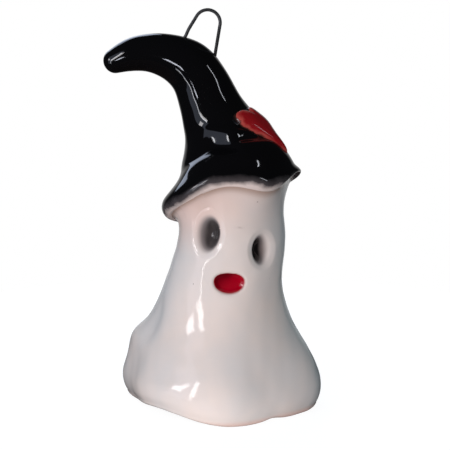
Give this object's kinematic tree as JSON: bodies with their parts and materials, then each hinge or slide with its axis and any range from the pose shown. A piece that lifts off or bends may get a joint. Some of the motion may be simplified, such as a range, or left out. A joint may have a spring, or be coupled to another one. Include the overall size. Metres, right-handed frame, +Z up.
{
  "type": "ceramic ghost figure",
  "caption": "Hollow glazed ceramic ghost with pressed eyes and mouth, a tilted bent black hat with a small red heart, and a wire loop to hang it by.",
  "frame": {"origin": "middle of the flat foot under the hem, on the surface the ghost stands on", "axes": "+Z up, -Y towards the front (the face), +X to the viewer's right"},
  "size_m": [0.0644, 0.0585, 0.1164],
  "materials": {
    "white_glaze": "glossy warm white glaze over pale stoneware, with fine dark specks",
    "black_glaze": "glossy black glaze that breaks to grey and white under the rolled edge of the brim",
    "heart_red_glaze": "glossy dark red glaze, thin and paler along its edges",
    "mouth_red_glaze": "glossy bright red glaze pooled in the mouth",
    "eye_underglaze": "dark grey underglaze brushed into the eye hollows, feathered at its edge, under clear glaze",
    "luting_slip": "plain fired slip inside the joints of the hat",
    "kiln_wire": "dark kiln-fired wire with a dull oxide skin"
  },
  "bodies": {
    "root": {"ghost_body": "white_glaze", "left_eye_colour": "eye_underglaze", "right_eye_colour": "eye_underglaze", "mouth_colour": "mouth_red_glaze", "neck_slip": "luting_slip", "hat_brim": "black_glaze", "crown_slip": "luting_slip", "hat_crown": "black_glaze", "heart_applique": "heart_red_glaze", "hanging_wire": "kiln_wire"}
  },
  "joints": []
}
